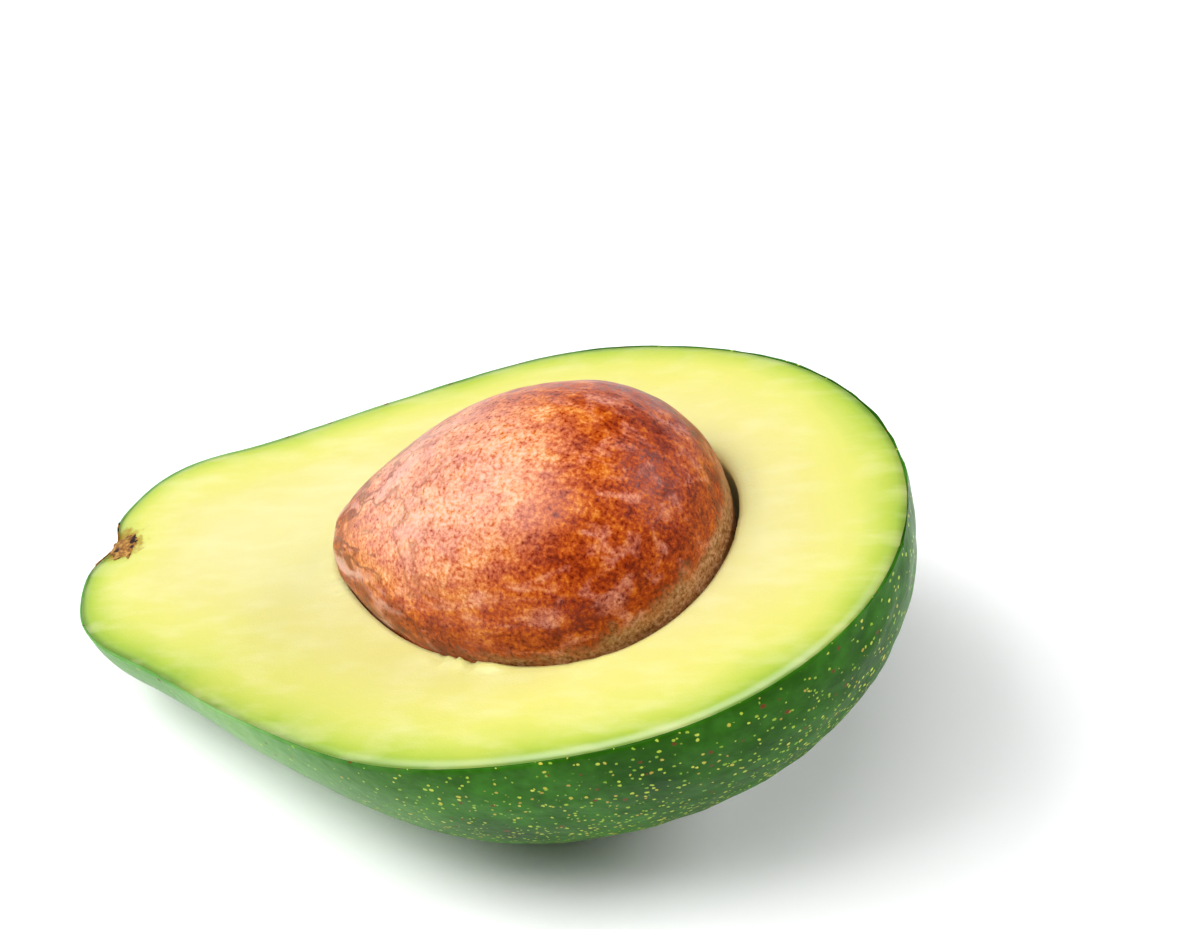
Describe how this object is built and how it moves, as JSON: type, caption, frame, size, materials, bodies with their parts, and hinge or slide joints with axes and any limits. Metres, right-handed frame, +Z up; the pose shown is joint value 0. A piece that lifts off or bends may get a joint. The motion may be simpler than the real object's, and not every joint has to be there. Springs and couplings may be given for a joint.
{
  "type": "avocado half",
  "caption": "Half of a pear-shaped green avocado, cut lengthwise, with its stone still in the flesh; fresh fruit lying on its skin, cut face up.",
  "frame": {"origin": "centre of the bounding box's bottom face, on the surface that the fruit rests on", "axes": "+X along the fruit from the stem end towards the raised wide end, +Z up, +Y to the left of +X"},
  "size_m": [0.1072, 0.0718, 0.0563],
  "materials": {
    "skin": "smooth, semi-gloss, dark green with small pale dots",
    "flesh": "moist satin, cream yellow turning green towards the skin",
    "stone": "satin, mottled red-brown",
    "stalk_wood": "matt, fibrous"
  },
  "bodies": {
    "root": {"peel": "skin", "flesh": "flesh", "stone": "stone", "stem_scar": "stalk_wood"}
  },
  "joints": []
}
